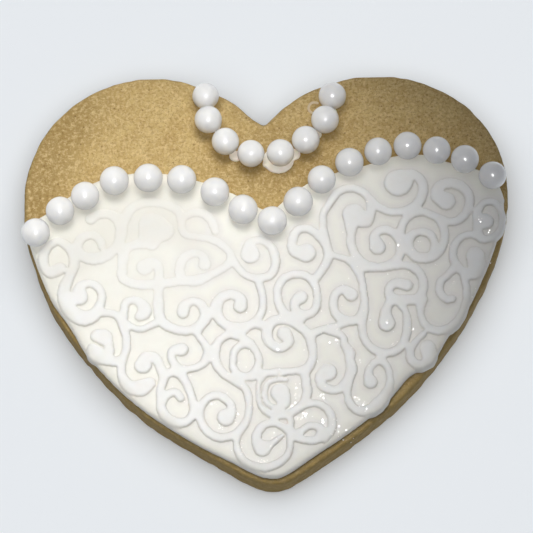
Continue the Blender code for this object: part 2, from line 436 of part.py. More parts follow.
def make_biscuit(collection):
    """Rings of the heart outline stacked from the flat underside to the top, with baked edges."""
    outline = heart_outline()
    form = bmesh.new()
    rings = []
    for height, drawn_in in BISCUIT_EDGE:
        ring = []
        for x, y in inset(outline, drawn_in):
            swell = 1.0 + EDGE_WAVER * noise.noise(Vector((x, y, 2.0 * height)) * WAVER_PITCH)
            ring.append(form.verts.new(mm(x * swell, y * swell, height)))
        rings.append(ring)
    for lower, upper in zip(rings, rings[1:]):
        for i in range(len(lower)):
            j = (i + 1) % len(lower)
            form.faces.new((lower[i], lower[j], upper[j], upper[i]))
    form.faces.new(list(reversed(rings[0])))
    form.faces.new(rings[-1])
    mesh = bpy.data.meshes.new("cookie")
    form.to_mesh(mesh)
    form.free()
    return add_part("cookie", mesh, "biscuit", collection)


def make_fondant(collection, tools):
    """The fondant sheet with the scrollwork raised on it, as one solid."""
    sheet = flat_outline("icing", [fondant_outline()], FONDANT_BASE, FONDANT_TOP, FONDANT_ROUND)
    icing = add_part("icing", sheet, "fondant", collection)
    loops = [thinned(loop, RELIEF_TOLERANCE) for loop in relief_loops()]
    loops = [loop for loop in loops if len(loop) > 3 and abs(signed_area(loop)) > SMALLEST_LOOP]
    relief_mesh = flat_outline("scrolls", loops, FONDANT_TOP - RELIEF_SINK, FONDANT_TOP + RELIEF_HEIGHT)
    relief = add_part("scrolls", relief_mesh, "fondant", tools)
    relief.hide_render = True
    relief.display_type = "WIRE"
    join = icing.modifiers.new("join_scrolls", "BOOLEAN")
    join.operation = "UNION"
    join.object = relief
    return icing


def make_pearl(name, x, y, z, radius, collection):
    form = bmesh.new()
    bmesh.ops.create_uvsphere(form, u_segments=PEARL_SEGMENTS, v_segments=PEARL_RINGS, radius=radius * MM)
    mesh = bpy.data.meshes.new(name)
    form.to_mesh(mesh)
    form.free()
    mesh.shade_smooth()
    return add_part(name, mesh, "pearl", collection, (x, y, z))


def make_pearls(collection):
    for number, (x, y, radius) in enumerate(NECKLINE_PEARLS, 1):
        height = FONDANT_TOP + PEARL_GAP + radius
        make_pearl(f"neckline_pearl_{number:02d}", x, y, height, radius, collection)
    for number, (x, y, radius, seat) in enumerate(NECKLACE_PEARLS, 1):
        height = BISCUIT_THICK + seat + radius
        make_pearl(f"necklace_pearl_{number:02d}", x, y, height, radius, collection)


def make_piping(collection):
    """The flat line of icing that holds the necklace's pearls, all but the first and the last."""
    held = [(x, y - PIPING_DROP) for x, y, _, _ in NECKLACE_PEARLS[1:-1]]
    centre = smooth_path([PIPING_LEFT_END] + held + [PIPING_RIGHT_END], OUTLINE_STEPS)
    centre = even_spacing(centre, PIPING_STEP, closed=False)
    along = np.gradient(centre, axis=0)
    along /= np.linalg.norm(along, axis=1)[:, None]
    across = np.column_stack((-along[:, 1], along[:, 0]))
    wobble = np.sin(np.arange(len(centre)) * PIPING_WOBBLE_PITCH)[:, None]
    half = PIPING_HALF_WIDTH + PIPING_WOBBLE * wobble
    band = np.vstack((centre - across * half, (centre + across * half)[::-1]))
    mesh = flat_outline("necklace_icing", [band], FONDANT_BASE, FONDANT_BASE + PIPING_THICK)
    return add_part("necklace_icing", mesh, "piping", collection)


def main():
    clear_scene()
    parts = new_collection("heart_cookie")
    tools = new_collection("cutters")
    make_biscuit(parts)
    make_fondant(parts, tools)
    make_pearls(parts)
    make_piping(parts)


main()
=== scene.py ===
import math
import random

import bmesh
import bpy
import numpy as np
from mathutils import Euler, Matrix, Vector, kdtree, noise
from mathutils.bvhtree import BVHTree
from mathutils.geometry import delaunay_2d_cdt


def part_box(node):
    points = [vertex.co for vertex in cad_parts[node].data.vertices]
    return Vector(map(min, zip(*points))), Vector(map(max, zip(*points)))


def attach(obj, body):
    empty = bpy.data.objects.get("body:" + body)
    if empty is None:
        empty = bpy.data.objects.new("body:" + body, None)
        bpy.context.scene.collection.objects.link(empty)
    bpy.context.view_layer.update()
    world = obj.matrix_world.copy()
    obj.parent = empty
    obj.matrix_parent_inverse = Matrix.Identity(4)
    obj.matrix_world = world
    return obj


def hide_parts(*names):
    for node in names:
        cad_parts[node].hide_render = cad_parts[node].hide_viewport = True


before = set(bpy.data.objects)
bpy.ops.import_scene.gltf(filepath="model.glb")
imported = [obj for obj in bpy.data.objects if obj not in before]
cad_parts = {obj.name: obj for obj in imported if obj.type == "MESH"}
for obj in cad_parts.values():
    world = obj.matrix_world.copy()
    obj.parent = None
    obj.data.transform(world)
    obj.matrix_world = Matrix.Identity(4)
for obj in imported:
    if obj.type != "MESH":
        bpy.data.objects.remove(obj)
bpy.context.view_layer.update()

MM = 0.001
DOWN = Vector((0.0, 0.0, -1.0))

# Camera: lengths in millimetres, angles in degrees, picture places in pixels of a square frame.
IMAGE_SIZE = 533
CAMERA_ELEVATION = 70.0
CAMERA_AZIMUTH = -1.2
CAMERA_DISTANCE = 600.0
CAMERA_TARGET = (0.0, 0.0, 6.5)
CAMERA_NEAREST = 10.0
TARGET_PIXEL = (267.5, 275.1)
PIXELS_PER_MM = 480 / 101.6
SENSOR_WIDTH = 36.0

# Light: places and sizes in metres, powers in watts, spreads in degrees.
SKY_FRONT = (0.05, 0.052, 0.058, 1.0)
SKY_BACK = (0.16, 0.167, 0.182, 1.0)
SKY_ZENITH = (0.212, 0.221, 0.245, 1.0)
FLOOR_COLOUR = (0.88, 0.90, 0.91, 1.0)
FLOOR_HALF_SIZE = 1.5
KEY = {"place": (-0.042, 0.022, 0.147), "target": (-0.042, -0.004, 0.0), "size": 0.15, "power": 0.007,
       "colour": (1.0, 0.985, 0.94), "spread": 40.0, "in_reflections": False}
SOFT_KEY = {**KEY, "power": 0.0425}
FILL = {"place": (0.0, -0.2, 0.57), "target": (0.0, 0.0, 0.0), "size": 0.04, "power": 0.16,
        "colour": (1.0, 1.0, 1.0), "spread": 180.0, "in_reflections": False}
SPARK = {**FILL, "size": 0.17, "power": 2.7, "in_reflections": True}
WASH = {"place": (-0.03, 0.0, 0.60), "target": (0.0, 0.0, 0.0), "size": 1.3, "power": 5.7,
        "colour": (0.98, 0.99, 1.0), "spread": 180.0, "in_reflections": True}

# Heights above the floor and other measures of the cookie, in millimetres.
BISCUIT_TOP = 6.6
FONDANT_FOOT = 6.64
FONDANT_TOP = 8.7
RIBBON_LEVEL = 9.0
RIBBON_HEIGHT = 0.6
PEARL_RADIUS = 3.0
PEARL_NODES = [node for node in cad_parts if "pearl" in node]
PEARL_BOXES = [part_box(node) for node in PEARL_NODES]
PEARL_PLACES = [((low[0] + high[0]) / 2 / MM, (low[1] + high[1]) / 2 / MM) for low, high in PEARL_BOXES]

random.seed(11)


# Geometry helpers: lengths are in millimetres, and finished meshes in metres.


def cad_tree(node):
    """The faces of a CAD node, ready for rays."""
    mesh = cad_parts[node].data
    points = [vertex.co / MM for vertex in mesh.vertices]
    return BVHTree.FromPolygons(points, [tuple(face.vertices) for face in mesh.polygons])


def heights_from_above(node, step, margin=1.5, ceiling=40.0):
    """Heights of a CAD node on an even grid, with minus one where there is nothing."""
    low, high = (np.array(corner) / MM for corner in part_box(node))
    xs = np.arange(low[0] - margin, high[0] + margin, step)
    ys = np.arange(low[1] - margin, high[1] + margin, step)
    tree = cad_tree(node)
    heights = np.full((len(xs), len(ys)), -1.0)
    for i, x in enumerate(xs):
        for j, y in enumerate(ys):
            hit = tree.ray_cast(Vector((x, y, ceiling)), DOWN)[0]
            if hit is not None:
                heights[i, j] = hit.z
    return xs, ys, heights


def blurred(values, passes):
    """The same grid of values, each pass mixed with their neighbours along both axes."""
    for _ in range(passes):
        for axis in (0, 1):
            values = (np.roll(values, 1, axis) + 2.0 * values + np.roll(values, -1, axis)) / 4.0
    return values


def contour(field, xs, ys):
    """Closed lines where the field is nought, with the negative side on the left."""
    links = {}
    places = {}

    def crossing(i, j, k, m):
        key = (min((i, j), (k, m)), max((i, j), (k, m)))
        if key not in places:
            share = field[i, j] / (field[i, j] - field[k, m])
            places[key] = (xs[i] + (xs[k] - xs[i]) * share, ys[j] + (ys[m] - ys[j]) * share)
        return key

    inside = field < 0.0
    within = inside[:-1, :-1].astype(int) + inside[1:, :-1] + inside[:-1, 1:] + inside[1:, 1:]
    for i, j in np.argwhere((within > 0) & (within < 4)):
        corners = ((i, j), (i + 1, j), (i + 1, j + 1), (i, j + 1))
        entries = []
        exits = []
        for start, end in zip(corners, corners[1:] + corners[:1]):
            if inside[start] and not inside[end]:
                exits.append(crossing(*start, *end))
            elif inside[end] and not inside[start]:
                entries.append(crossing(*start, *end))
        if len(exits) == 2 and crossing(*corners[0], *corners[1]) not in entries:
            entries.reverse()
        for leave, enter in zip(exits, entries):
            links[leave] = enter
    loops = []
    while links:
        first, here = links.popitem()
        loop = [places[first]]
        while here != first:
            loop.append(places[here])
            here = links.pop(here)
        loops.append(np.array(loop))
    return loops


def outlines(mask, xs, ys, passes, smallest):
    """Smooth closed lines round the true cells of a mask, without the ones shorter than smallest."""
    loops = contour(0.5 - blurred(mask.astype(float), passes), xs, ys)
    return [loop for loop in loops if loop_length(loop) > smallest]


def loop_length(loop):
    """Length once round the loop."""
    return float(np.linalg.norm(loop - np.roll(loop, -1, axis=0), axis=1).sum())


def evenly(loop, step):
    """The same loop with points about a step apart."""
    path = np.vstack((loop, loop[:1]))
    run = np.concatenate(([0.0], np.cumsum(np.linalg.norm(np.diff(path, axis=0), axis=1))))
    count = max(6, round(run[-1] / step))
    places = np.linspace(0.0, run[-1], count, endpoint=False)
    return np.column_stack([np.interp(places, run, path[:, axis]) for axis in (0, 1)])


def eased(loop, passes):
    """The same loop with its small corners rounded off."""
    for _ in range(passes):
        loop = (np.roll(loop, 1, axis=0) + 2.0 * loop + np.roll(loop, -1, axis=0)) / 4.0
    return loop


def inward(loop):
    """Unit vectors to the left of the loop's direction, which is its inner side."""
    along = np.roll(loop, -1, axis=0) - np.roll(loop, 1, axis=0)
    along /= np.linalg.norm(along, axis=1)[:, None] + 1e-9
    return np.column_stack((-along[:, 1], along[:, 0]))


class Border:
    """Signed distance to a set of closed lines, positive inside, to within about a step."""

    def __init__(self, loops, step=0.12):
        dense = [evenly(loop, step) for loop in loops]
        self.normals = np.vstack([inward(loop) for loop in dense])
        points = np.vstack(dense)
        self.tree = kdtree.KDTree(len(points))
        for index, (x, y) in enumerate(points):
            self.tree.insert((x, y, 0.0), index)
        self.tree.balance()

    def depth(self, x, y):
        place, index, distance = self.tree.find((x, y, 0.0))
        normal = self.normals[index]
        side = (x - place.x) * normal[0] + (y - place.y) * normal[1]
        return distance if side >= 0.0 else -distance

    def inner_side(self, x, y):
        """Unit vector at the nearest line, towards its inner side."""
        return self.normals[self.tree.find((x, y, 0.0))[1]]


class Sieve:
    """Keeps points that are no closer to each other than asked."""

    def __init__(self, cell):
        self.cell = cell
        self.cells = {}
        self.points = []

    def add(self, x, y, clearance):
        reach = int(math.ceil(clearance / self.cell))
        column, row = int(x // self.cell), int(y // self.cell)
        for i in range(column - reach, column + reach + 1):
            for j in range(row - reach, row + reach + 1):
                for other_x, other_y in self.cells.get((i, j), ()):
                    if (x - other_x) ** 2 + (y - other_y) ** 2 < clearance**2:
                        return
        self.cells.setdefault((column, row), []).append((x, y))
        self.points.append((x, y))

    def add_rings(self, rim, depths, clearance):
        """Adds a closed line and, at some depths to its inner side, lines beside it."""
        for x, y in rim:
            self.add(x, y, 0.0)
        normals = inward(rim)
        for depth in depths:
            for (x, y), (nx, ny) in zip(rim, normals):
                self.add(x + nx * depth, y + ny * depth, clearance)


def staggered(xs, ys, step):
    """Places on a grid as wide as xs and ys, with every other column moved up by half a step."""
    for i, x in enumerate(np.arange(xs[0], xs[-1], step)):
        for y in np.arange(ys[0], ys[-1], step) + (i % 2) * step / 2:
            yield x, y


def soft_step(low, high, value):
    """Smooth rise from 0 at low to 1 at high, or a fall where low is the larger."""
    share = min(1.0, max(0.0, (value - low) / (high - low)))
    return share * share * (3.0 - 2.0 * share)


def rounded(share):
    """Quarter of a circle: 0 at 0, 1 at 1, upright at the start."""
    share = min(1.0, max(0.0, share))
    return math.sqrt(1.0 - (1.0 - share) ** 2)


def wander(x, y, pitch, seed):
    """Smooth chance value about 0, whose ups and downs are about a pitch apart."""
    return noise.noise(Vector((x / pitch, y / pitch, seed)))


def waves(x, y, layers):
    """Sum of wanders, each given by its height, pitch and seed."""
    return sum(height * wander(x, y, pitch, seed) for height, pitch, seed in layers)


def pearl_gap(x, y):
    """Distance in plan to the nearest pearl, less a pearl's radius."""
    return min(math.hypot(x - px, y - py) for px, py in PEARL_PLACES) - PEARL_RADIUS


# The triangulation keeps what is inside the rim, and joins points closer than this.
INSIDE_ONLY = 1
JOIN_DISTANCE = 1e-5


def slab(name, rim, sieve, top, sides, foot):
    """A closed body: a triangulated top over the sieve's points, side rings below the rim, a flat foot.

    top(x, y) gives the height and the vertex values. Sides and foot are pairs of a height and an outward
    shift, which is a number or a function of x, y and height."""
    points = sieve.points
    count = len(rim)
    edges = [(i, (i + 1) % count) for i in range(count)]
    flat = [Vector((x, y)) for x, y in points]
    verts, _, faces, origins, _, _ = delaunay_2d_cdt(flat, edges, [], INSIDE_ONLY, JOIN_DISTANCE)
    places = []
    values = []
    for x, y in verts:
        height, value = top(x, y)
        places.append((x * MM, y * MM, height * MM))
        values.append(value)
    rim_ids = [0] * count
    for index, sources in enumerate(origins):
        for source in sources:
            if source < count:
                rim_ids[source] = index
    normals = -inward(rim)
    faces = [tuple(face) for face in faces]
    upper = rim_ids
    rim_values = [values[index] for index in rim_ids]
    for height, shift in list(sides) + [foot]:
        lower = []
        for number, ((x, y), (nx, ny)) in enumerate(zip(rim, normals)):
            push = shift(x, y, height) if callable(shift) else shift
            lower.append(len(places))
            places.append(((x + nx * push) * MM, (y + ny * push) * MM, height * MM))
            values.append(rim_values[number])
        for i in range(count):
            j = (i + 1) % count
            faces.append((upper[i], lower[i], lower[j], upper[j]))
        upper = lower
    faces.append(tuple(reversed(upper)))
    mesh = bpy.data.meshes.new(name)
    mesh.from_pydata(places, [], faces)
    form = bmesh.new()
    form.from_mesh(mesh)
    bmesh.ops.recalc_face_normals(form, faces=form.faces)
    form.to_mesh(mesh)
    form.free()
    for key in values[0]:
        layer = mesh.attributes.new(key, "FLOAT", "POINT")
        layer.data.foreach_set("value", [value[key] for value in values])
    mesh.shade_smooth()
    return put(name, mesh)


def mesh_of(form, name):
    """A mesh made from the form, which is then freed."""
    mesh = bpy.data.meshes.new(name)
    form.to_mesh(mesh)
    form.free()
    return mesh


def put(name, mesh):
    """A piece of the cookie, on its one body."""
    piece = bpy.data.objects.new(name, mesh)
    bpy.context.scene.collection.objects.link(piece)
    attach(piece, "root")
    return piece


def finish_with(piece, material):
    piece.data.materials.clear()
    piece.data.materials.append(material)


# Materials


def srgb(red, green, blue):
    """A colour given as 0 to 255 screen values."""
    linear = []
    for value in (red, green, blue):
        value /= 255.0
        linear.append(value / 12.92 if value <= 0.04045 else ((value + 0.055) / 1.055) ** 2.4)
    return (*linear, 1.0)


def mixed(tree, factor, first, second):
    """A mix of two colours, each a tuple or a socket, by the socket factor."""
    node = tree.nodes.new("ShaderNodeMix")
    node.data_type = "RGBA"
    tree.links.new(factor, node.inputs["Factor"])
    for socket, value in zip([item for item in node.inputs if item.type == "RGBA"], (first, second)):
        if isinstance(value, tuple):
            socket.default_value = value
        else:
            tree.links.new(value, socket)
    return [item for item in node.outputs if item.type == "RGBA"][0]


class Nodes:
    """Short way to build a Principled material: widths and heights are in millimetres."""

    def __init__(self, name, surface):
        self.material = bpy.data.materials.new(name)
        self.material.use_nodes = True
        self.tree = self.material.node_tree
        self.shader = self.tree.nodes["Principled BSDF"]
        for key, value in surface.items():
            self.shader.inputs[key].default_value = value

    def link(self, source, target):
        self.tree.links.new(source, target)

    def attribute(self, name):
        node = self.tree.nodes.new("ShaderNodeAttribute")
        node.attribute_name = name
        return node.outputs["Fac"]

    def texture(self, kind, width):
        node = self.tree.nodes.new(kind)
        node.inputs["Scale"].default_value = 1.0 / (width * MM)
        self.link(self.tree.nodes.new("ShaderNodeTexCoord").outputs["Object"], node.inputs["Vector"])
        return node

    def noise(self, width, detail, roughness=0.55):
        """Noise whose features are about that wide."""
        node = self.texture("ShaderNodeTexNoise", width)
        node.inputs["Detail"].default_value = detail
        node.inputs["Roughness"].default_value = roughness
        return node.outputs["Fac"]

    def cells(self, width):
        """Distance to the nearest of points scattered about that far apart."""
        return self.texture("ShaderNodeTexVoronoi", width).outputs["Distance"]

    def remap(self, source, low, high, out_low=0.0, out_high=1.0):
        node = self.tree.nodes.new("ShaderNodeMapRange")
        for name, value in (("From Min", low), ("From Max", high), ("To Min", out_low), ("To Max", out_high)):
            node.inputs[name].default_value = value
        self.link(source, node.inputs["Value"])
        return node.outputs["Result"]

    def times(self, first, second):
        """A socket times a number or another socket."""
        node = self.tree.nodes.new("ShaderNodeMath")
        node.operation = "MULTIPLY"
        self.link(first, node.inputs[0])
        if isinstance(second, float):
            node.inputs[1].default_value = second
        else:
            self.link(second, node.inputs[1])
        return node.outputs["Value"]

    def mix(self, factor, first, second):
        return mixed(self.tree, factor, first, second)

    def clouds(self, first, second, width, detail, roughness, low, high):
        """Two colours in soft clouds: the first where the noise is low and the second where it's high."""
        return self.mix(self.remap(self.noise(width, detail, roughness), low, high), first, second)

    def tinted(self, colour, mask, share, tint):
        """The colour with a share of the tint where the mask is white."""
        return self.mix(self.times(mask, share), colour, tint)

    def finish(self, colour, bumps):
        """Sets the colour and layers of bumps: noise width, detail and roughness, strength and height."""
        self.link(colour, self.shader.inputs["Base Color"])
        below = None
        for width, detail, roughness, strength, height in bumps:
            node = self.tree.nodes.new("ShaderNodeBump")
            node.inputs["Strength"].default_value = strength
            node.inputs["Distance"].default_value = height * MM
            self.link(self.noise(width, detail, roughness), node.inputs["Height"])
            if below is not None:
                self.link(below, node.inputs["Normal"])
            below = node.outputs["Normal"]
        if below is not None:
            self.link(below, self.shader.inputs["Normal"])
        return self.material


BISCUIT_SURFACE = {"Roughness": 0.82, "Specular IOR Level": 0.3}
BISCUIT_BUMPS = ((0.7, 4.0, 0.7, 0.6, 0.16), (0.3, 3.0, 0.6, 0.45, 0.07))
DOUGH = (srgb(202, 176, 119), srgb(190, 162, 105))
TOAST_AND_SHADE_TINT = srgb(145, 119, 67)
# Grain of the dough: noise width, detail and roughness, the values where it starts and is full, share, tint.
DOUGH_GRAIN = (
    (2.4, 3.0, 0.6, 0.42, 0.64, 0.35, srgb(166, 138, 84)),
    (0.7, 4.0, 0.7, 0.45, 0.66, 0.65, srgb(222, 198, 150)),
    (0.6, 4.0, 0.7, 0.52, 0.34, 0.75, srgb(144, 116, 64)),
)
BRAN_SPECK = srgb(108, 80, 42)
PAINTED_SHADE_UNDER_PEARLS = srgb(132, 108, 56)
CRUST = srgb(140, 118, 66)


def biscuit_material():
    n = Nodes("biscuit_baked", BISCUIT_SURFACE)
    colour = n.clouds(*DOUGH, width=7.0, detail=3.0, roughness=0.55, low=0.35, high=0.65)
    # Toasted browning, and painted shade in the middle between the rows of pearls.
    colour = n.tinted(colour, n.attribute("toast_and_shade"), share=0.8, tint=TOAST_AND_SHADE_TINT)
    for width, detail, roughness, start, full, share, tint in DOUGH_GRAIN:
        colour = n.tinted(colour, n.remap(n.noise(width, detail, roughness), start, full), share, tint)
    specks = n.remap(n.cells(width=2.0), low=0.13, high=0.06)
    colour = n.tinted(colour, specks, share=0.65, tint=BRAN_SPECK)
    # Painted shade round the pearls.
    colour = n.tinted(colour, n.attribute("shade"), share=0.4, tint=PAINTED_SHADE_UNDER_PEARLS)
    patches = n.remap(n.noise(width=1.2, detail=4.0, roughness=0.6), low=0.3, high=0.7, out_low=0.45)
    colour = n.tinted(colour, n.attribute("crust"), share=patches, tint=CRUST)
    return n.finish(colour, BISCUIT_BUMPS)


FONDANT_SURFACE = {"Roughness": 0.5, "Specular IOR Level": 0.35, "Subsurface Weight": 0.12,
                   "Subsurface Radius": (1.0, 0.8, 0.6), "Subsurface Scale": 0.4 * MM}
FONDANT_BUMPS = ((1.3, 3.0, 0.55, 0.25, 0.08), (0.25, 2.0, 0.55, 0.15, 0.03))
FONDANT_SHEET = srgb(235, 234, 227)
FONDANT_NOOK = srgb(230, 228, 224)
FONDANT_RIBBON = srgb(235, 235, 234)
FONDANT_MOTTLE = srgb(227, 224, 217)
FONDANT_GROOVE_SHADE = srgb(205, 202, 194)
FONDANT_SHADE = srgb(214, 211, 202)


def fondant_material():
    n = Nodes("fondant_white", FONDANT_SURFACE)
    colour = n.mix(n.attribute("nook"), FONDANT_SHEET, FONDANT_NOOK)
    colour = n.mix(n.attribute("ribbon"), colour, FONDANT_RIBBON)
    mottle = n.remap(n.noise(width=1.6, detail=3.0), low=0.4, high=0.7)
    colour = n.tinted(colour, mottle, share=0.2, tint=FONDANT_MOTTLE)
    # Painted shade in the creases at the ribbons' feet.
    colour = n.mix(n.attribute("groove_shade"), colour, FONDANT_GROOVE_SHADE)
    # Painted shade below the pearls at the left and along the lower rim.
    colour = n.mix(n.attribute("shade"), colour, FONDANT_SHADE)
    return n.finish(colour, FONDANT_BUMPS)


PIPING_SURFACE = {"Roughness": 0.5, "Subsurface Weight": 0.1, "Subsurface Scale": 0.4 * MM}
PIPING_BUMPS = ((0.5, 3.0, 0.55, 0.3, 0.06),)
PIPING = (srgb(242, 237, 228), srgb(236, 229, 217))
THIN_PIPING = srgb(196, 170, 126)


def piping_material():
    n = Nodes("icing_cream", PIPING_SURFACE)
    colour = n.clouds(*PIPING, width=1.5, detail=3.0, roughness=0.55, low=0.35, high=0.65)
    return n.finish(n.mix(n.attribute("thin"), colour, THIN_PIPING), PIPING_BUMPS)


PEARL_SURFACE = {"Specular IOR Level": 0.4, "Subsurface Weight": 0.4, "Subsurface Radius": (1.0, 1.0, 1.0),
                 "Subsurface Scale": 1.0 * MM, "Coat Weight": 0.8, "Coat Roughness": 0.14}
PEARL_BUMPS = ((1.4, 2.0, 0.55, 0.12, 0.05),)
PEARL = (srgb(245, 244, 242), srgb(239, 239, 241))
PEARL_ROUGHNESS = (0.28, 0.4)


def pearl_material():
    n = Nodes("sugar_pearl", PEARL_SURFACE)
    roughness = n.remap(n.noise(0.8, 3.0), 0.3, 0.7, *PEARL_ROUGHNESS)
    n.link(roughness, n.shader.inputs["Roughness"])
    return n.finish(n.clouds(*PEARL, width=1.6, detail=3.0, roughness=0.6, low=0.35, high=0.7), PEARL_BUMPS)


GLITTER_SURFACE = {"Metallic": 0.3, "Roughness": 0.28}
GLITTER_TINTS = (srgb(255, 255, 252), srgb(250, 246, 240))


def glitter_material():
    n = Nodes("edible_glitter", GLITTER_SURFACE)
    return n.finish(n.clouds(*GLITTER_TINTS, width=0.9, detail=1.0, roughness=0.55, low=0.4, high=0.6), ())


FLOOR_SURFACE = {"Base Color": FLOOR_COLOUR, "Roughness": 0.95, "Specular IOR Level": 0.0}


# The biscuit


BISCUIT_GRID = 0.5
BISCUIT_RIM_STEP = 0.5
BISCUIT_RINGS = (0.06, 0.16, 0.3, 0.5, 0.75, 1.05)
BISCUIT_RING_CLEARANCE = 0.09
BISCUIT_FACE_STEP = 0.42
BISCUIT_FACE_CLEARANCE = 0.25
BISCUIT_FACE_INSET = 1.2
BISCUIT_JITTER = 0.08
# How the top falls off at the rim: width and drop.
BISCUIT_ROUNDS = ((0.35, 1.05), (1.3, 0.7))
# Waves in the top: height, pitch and seed. The top lies BISCUIT_SINK lower, and is smoother at the rim.
BISCUIT_SWELL = ((0.07, 6.0, 3.0), (0.06, 1.7, 5.0), (0.055, 0.75, 8.0))
BISCUIT_SINK = 0.02
RIM_RELIEF = 0.4
PIT_DEPTH = 0.28
# The wander values over which a pit, and a patch with pits, goes from nothing to full.
PIT_RANGE = (0.42, 0.75)
PIT_PATCH_RANGE = (0.0, 0.4)
# The crust's width at the back and what it gains towards the tip.
CRUST_WIDTH = 0.8
CRUST_GAIN = 1.8
CRUST_WAVER = 0.6
CRUST_FRONT = (15.0, -5.0)
# Browned places: a band along the left rim, the whole rim and a spot; and painted shade in the middle,
# between the rows of pearls.
TOAST_BAND = (15.0, 3.0)
TOAST_BAND_WAVER = 4.0
TOAST_BAND_SIDE = (-26.0, -42.0)
SHADE_MIDDLE = (1.0, 25.0)
SHADE_MIDDLE_REACH = (14.0, 8.0)
TOAST_RIM = 0.35
TOAST_RIM_WIDTH = 5.0
TOAST_SPOT = (-39.5, 36.5)
TOAST_SPOT_RADIUS = 1.5
# Gaps to a pearl where the painted shade round it ends and is full.
PEARL_SHADE = (1.7, -0.4)
# Rings down the side wall, from the highest one, and how it goes in and out.
WALL_TOP = 4.6
WALL_STEP = 0.4
WALL_RINGS = 11
WALL_SWELL = 0.14
WALL_CRUMB = 0.07
WALL_SINK = 0.02
FOOT_INSET = 0.5


def make_biscuit():
    xs, ys, heights = heights_from_above("cookie", BISCUIT_GRID)
    outline = outlines(heights > 0.0, xs, ys, passes=1, smallest=50.0)[0]
    rim = eased(evenly(outline, BISCUIT_RIM_STEP), passes=3)
    border = Border([rim])
    sieve = Sieve(0.5)
    sieve.add_rings(rim, BISCUIT_RINGS, BISCUIT_RING_CLEARANCE)
    for x, y in staggered(xs, ys, BISCUIT_FACE_STEP):
        px = x + random.uniform(-BISCUIT_JITTER, BISCUIT_JITTER)
        py = y + random.uniform(-BISCUIT_JITTER, BISCUIT_JITTER)
        if border.depth(px, py) > BISCUIT_FACE_INSET:
            sieve.add(px, py, BISCUIT_FACE_CLEARANCE)

    def browned_and_shaded(x, y, depth):
        band = soft_step(*TOAST_BAND, depth + TOAST_BAND_WAVER * wander(x, y, 7.0, 29.0))
        # The middle is painted shade between the rows of pearls.
        middle = [(place - at) / reach for place, at, reach in zip((x, y), SHADE_MIDDLE, SHADE_MIDDLE_REACH)]
        spot = math.hypot(x - TOAST_SPOT[0], y - TOAST_SPOT[1]) / TOAST_SPOT_RADIUS
        return max(band * soft_step(*TOAST_BAND_SIDE, x), math.exp(-(middle[0] ** 2) - middle[1] ** 2),
                   TOAST_RIM * soft_step(TOAST_RIM_WIDTH, 0.0, depth), math.exp(-(spot**2)))

    def top(x, y):
        depth = max(0.0, border.depth(x, y))
        fall = sum(drop * (1.0 - rounded(depth / width)) for width, drop in BISCUIT_ROUNDS)
        pit = soft_step(*PIT_RANGE, wander(x, y, 1.3, 13.0))
        pit *= soft_step(*PIT_PATCH_RANGE, wander(x, y, 5.0, 17.0))
        relief = min(0.0, waves(x, y, BISCUIT_SWELL) - PIT_DEPTH * pit - BISCUIT_SINK)
        reach = CRUST_WIDTH + CRUST_GAIN * soft_step(*CRUST_FRONT, y)
        reach *= 1.0 + CRUST_WAVER * wander(x, y, 3.0, 23.0)
        values = {"crust": 1.0 - soft_step(0.0, reach, depth), "toast_and_shade": browned_and_shaded(x, y, depth),
                  "shade": soft_step(*PEARL_SHADE, pearl_gap(x, y))}
        return BISCUIT_TOP - fall + relief * min(1.0, RIM_RELIEF + depth), values

    def side(x, y, height):
        bulge = WALL_SWELL * wander(x + height, y - height, 2.2, 31.0)
        bulge += WALL_CRUMB * wander(x, y + 3.0 * height, 0.8, 37.0)
        return min(0.0, bulge) - WALL_SINK

    wall = [(WALL_TOP - WALL_STEP * i, side) for i in range(WALL_RINGS)]
    piece = slab("biscuit", rim, sieve, top, wall, (0.0, -FOOT_INSET))
    finish_with(piece, biscuit_material())
    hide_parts("cookie")
    return piece


# The fondant with its scrolls


FONDANT_GRID = 0.18
FONDANT_RIM_STEP = 0.3
FONDANT_RINGS = (0.1, 0.24, 0.42, 0.65, 0.95)
FONDANT_RING_CLEARANCE = 0.08
FONDANT_FACE_STEP = 0.62
FONDANT_FACE_CLEARANCE = 0.34
FONDANT_FACE_INSET = 0.5
RIBBON_STEP = 0.32
RIBBON_RINGS = (0.03, -0.1, 0.14, -0.2, 0.3, -0.34, 0.52, -0.55)
RIBBON_CLEARANCE = 0.085
# Points beside a ribbon keep this far inside the rim. One whose depth differs by more than RIBBON_ASTRAY from
# its ring's is dropped, because it's nearer to another line.
RIBBON_INSET = 0.1
RIBBON_ASTRAY = 0.05
# How the top falls off at the rim: width and drop.
FONDANT_ROUNDS = ((0.8, 0.75), (2.0, 0.12))
# Waves in the sheet and in the ribbons: height, pitch and seed.
SHEET_WAVES = ((0.05, 9.0, 41.0), (0.02, 2.5, 43.0))
RIBBON_WAVES = ((0.03, 1.4, 47.0),)
SHEET_SINK = 0.04
# How far in a ribbon is full height, and the share of its height that rises at once at its line.
RIBBON_ROUND = 0.9
RIBBON_CLIFF = 0.15
# The place where the impression is shallow: its middle, how much wider than deep it is, the distances at
# which the impression starts to grow and is full, and its strength in the middle.
SHALLOW_MIDDLE = (-20.0, 9.0)
SHALLOW_STRETCH = 1.35
SHALLOW_RANGE = (8.0, 22.0)
SHALLOW_STRENGTH = 0.35
# The dint at a ribbon's foot: place outside the ribbon's line, width and depth.
DINT = (0.1, 0.09, 0.05)
# Painted shade lines at a ribbon's foot, where shade falls in the crease: place outside the line, width,
# least darkness, and what it gains along a ribbon's front side, which is painted darker as if lit from the
# back.
GROOVE_SHADES = ((0.03, 0.15, 0.3, 0.2), (0.15, 0.38, 0.06, 0.28))
GROOVE_REACH = (-1.2, 0.6)
GROOVE_SIDE = (-0.5, 0.9)
GROOVE_RIM = (0.1, 0.5)
GROOVE_EVEN = 0.85
GROOVE_WAVER = 0.5
TOWARDS_BACK = np.array((-0.35, 0.94))
